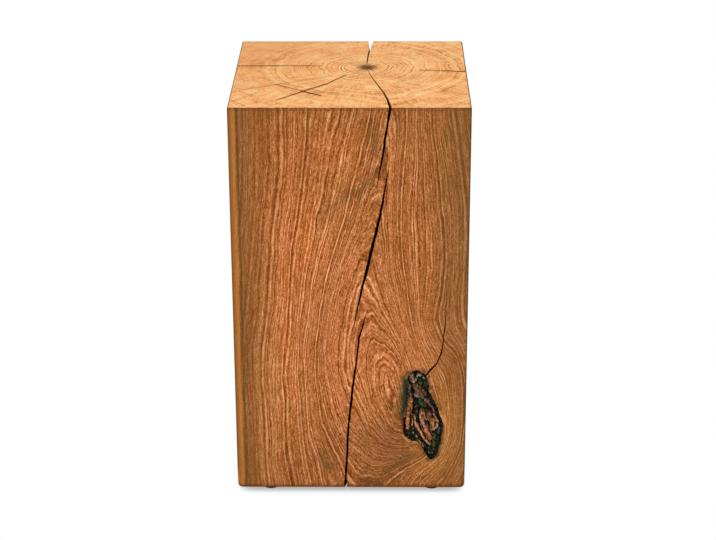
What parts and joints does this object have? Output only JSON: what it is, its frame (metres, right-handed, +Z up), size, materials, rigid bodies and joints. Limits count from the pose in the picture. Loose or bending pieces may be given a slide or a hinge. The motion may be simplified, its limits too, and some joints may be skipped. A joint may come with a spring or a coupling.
{
  "type": "solid wood block stool",
  "caption": "Solid oak block stool or side table with drying checks and an open knot, standing on domed plastic nail-in glides.",
  "frame": {"origin": "on the floor, under the middle of the block", "axes": "+Z up the block along the grain; -Y is the face with the knot and the long check; +X is to the right of that face"},
  "size_m": [0.25, 0.25, 0.445],
  "materials": {
    "oiled_oak": "oiled, satin",
    "black_plastic": "moulded, fine matt",
    "bright_steel": "drawn wire"
  },
  "bodies": {
    "root": {"block": "oiled_oak", "glide_front_left": "black_plastic", "glide_front_right": "black_plastic", "glide_back_left": "black_plastic", "glide_back_right": "black_plastic", "nail_front_left": "bright_steel", "nail_front_right": "bright_steel", "nail_back_left": "bright_steel", "nail_back_right": "bright_steel"}
  },
  "joints": []
}
